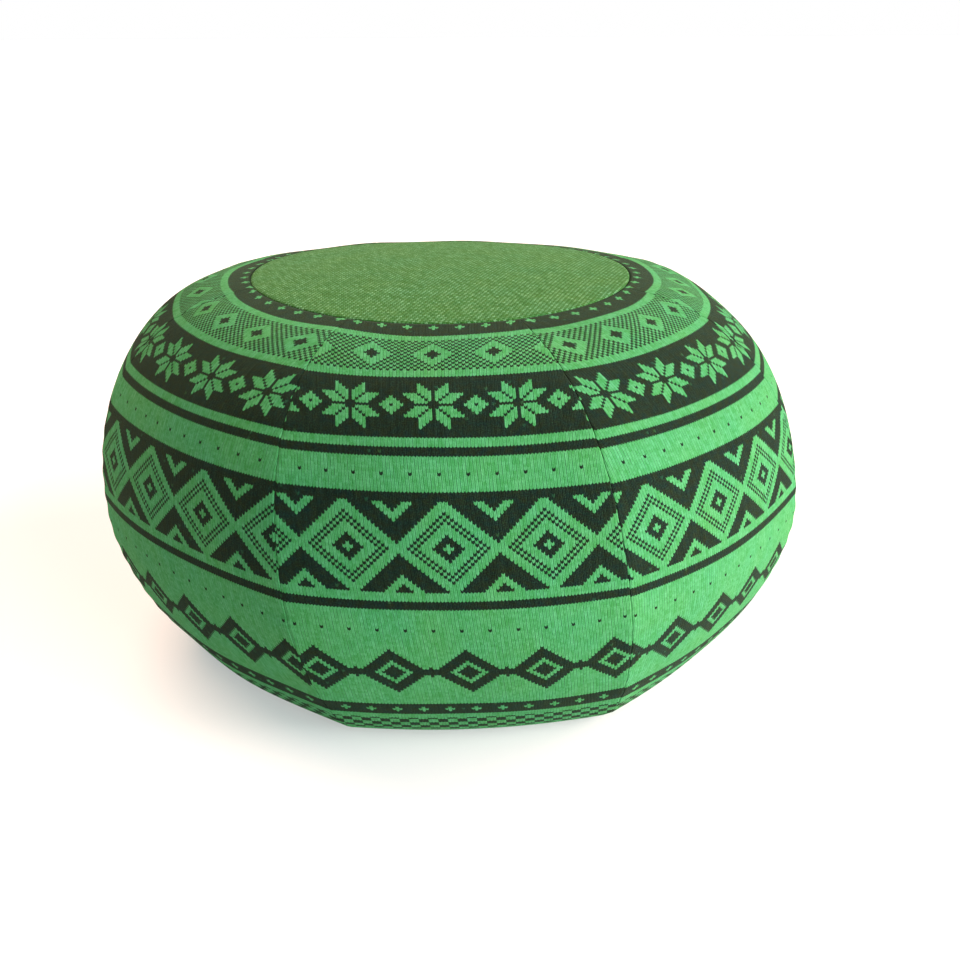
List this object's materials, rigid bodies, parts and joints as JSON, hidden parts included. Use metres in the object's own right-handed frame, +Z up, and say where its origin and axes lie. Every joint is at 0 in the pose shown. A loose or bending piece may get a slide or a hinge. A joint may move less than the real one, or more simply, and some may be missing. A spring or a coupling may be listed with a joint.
{
  "type": "knitted pouf",
  "caption": "Low round floor pouf: knitted patterned gores sewn round a plain flecked top panel, firmly filled, flat where it rests.",
  "frame": {"origin": "on the floor, under the middle of the pouf's box", "axes": "+Z up through the top panel; -Y towards the front gore; +X to that gore's right as seen from the front"},
  "size_m": [0.5278, 0.527, 0.2685],
  "materials": {
    "patterned_knit": "two-colour fine wool knit, green and near-black, lightly felted, matt",
    "flecked_knit": "salt-and-pepper fine wool knit in the same two yarns, matt",
    "base_knit": "plain fine wool knit, matt"
  },
  "bodies": {
    "root": {"gore_1": "patterned_knit", "gore_2": "patterned_knit", "gore_3": "patterned_knit", "gore_4": "patterned_knit", "gore_5": "patterned_knit", "gore_6": "patterned_knit", "gore_7": "patterned_knit", "gore_8": "patterned_knit", "top_panel": "flecked_knit", "base_panel": "base_knit"}
  },
  "joints": []
}
